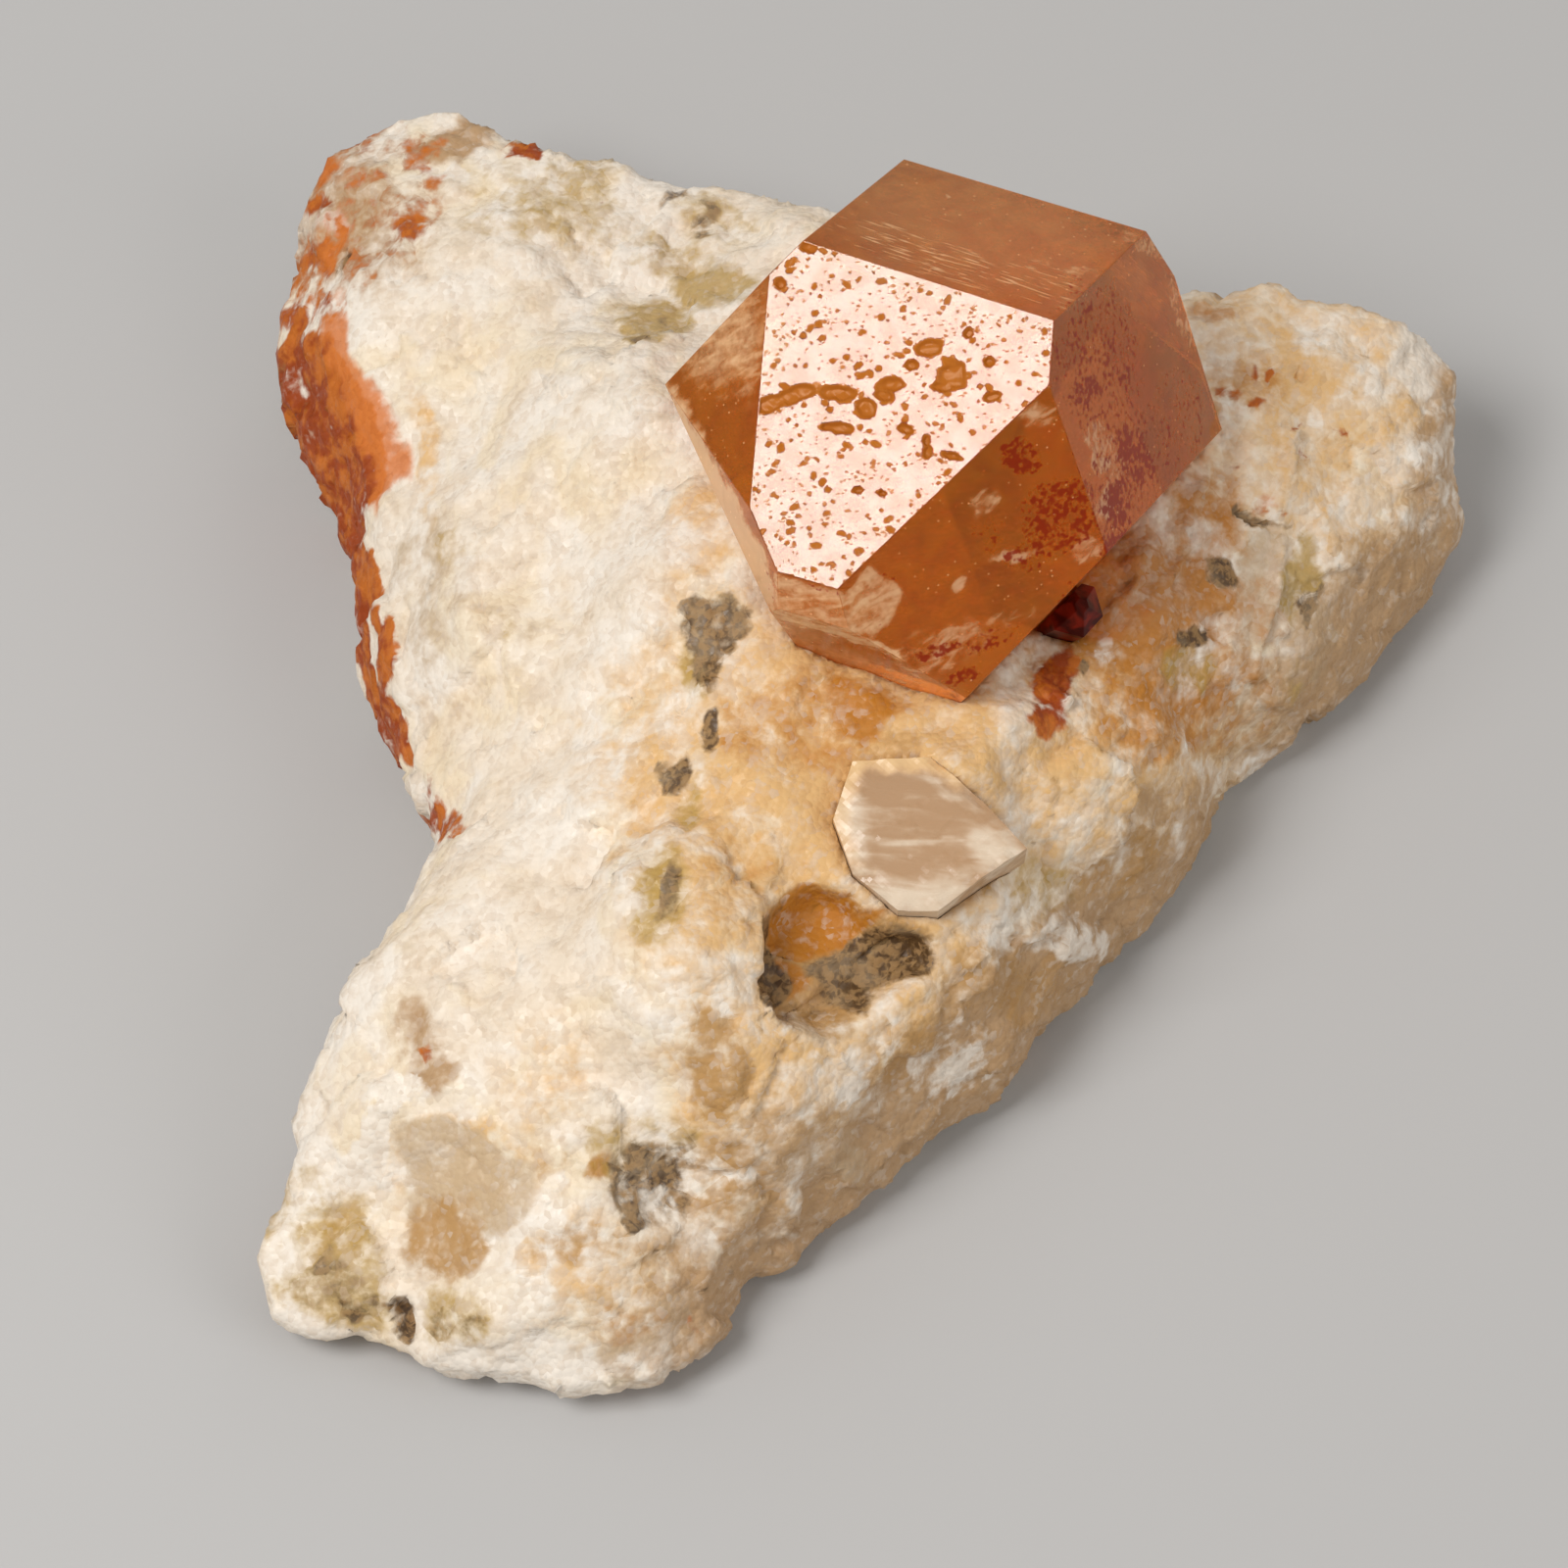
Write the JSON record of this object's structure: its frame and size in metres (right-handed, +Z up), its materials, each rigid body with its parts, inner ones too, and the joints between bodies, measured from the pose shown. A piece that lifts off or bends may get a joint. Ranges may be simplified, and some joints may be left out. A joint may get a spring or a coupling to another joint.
{
  "type": "hematoid quartz in matrix",
  "caption": "Orange-brown hematoid quartz crystal with flat pitted faces, set in a broken lump of white to tan carbonate rock with rusty stains, that rests on its flat underside.",
  "frame": {"origin": "middle of the specimen's outline, on the surface that it rests on", "axes": "+Z up, +Y away from the viewer along the lump's longest side, +X to the right"},
  "size_m": [0.0862, 0.0978, 0.0464],
  "materials": {
    "matrix": "rough broken carbonate rock, white to tan with rust, ochre and olive stains",
    "hematoid_quartz": "glossy flat crystal faces, clear orange-brown inside, with fine pits on the top face",
    "dark_red_quartz": "glossy, almost opaque dark red",
    "clear_grain": "clear to milky, cleaved and cracked"
  },
  "bodies": {
    "root": {"matrix": "matrix", "quartz_crystal": "hematoid_quartz", "red_crystal": "dark_red_quartz", "clear_grain": "clear_grain"}
  },
  "joints": []
}
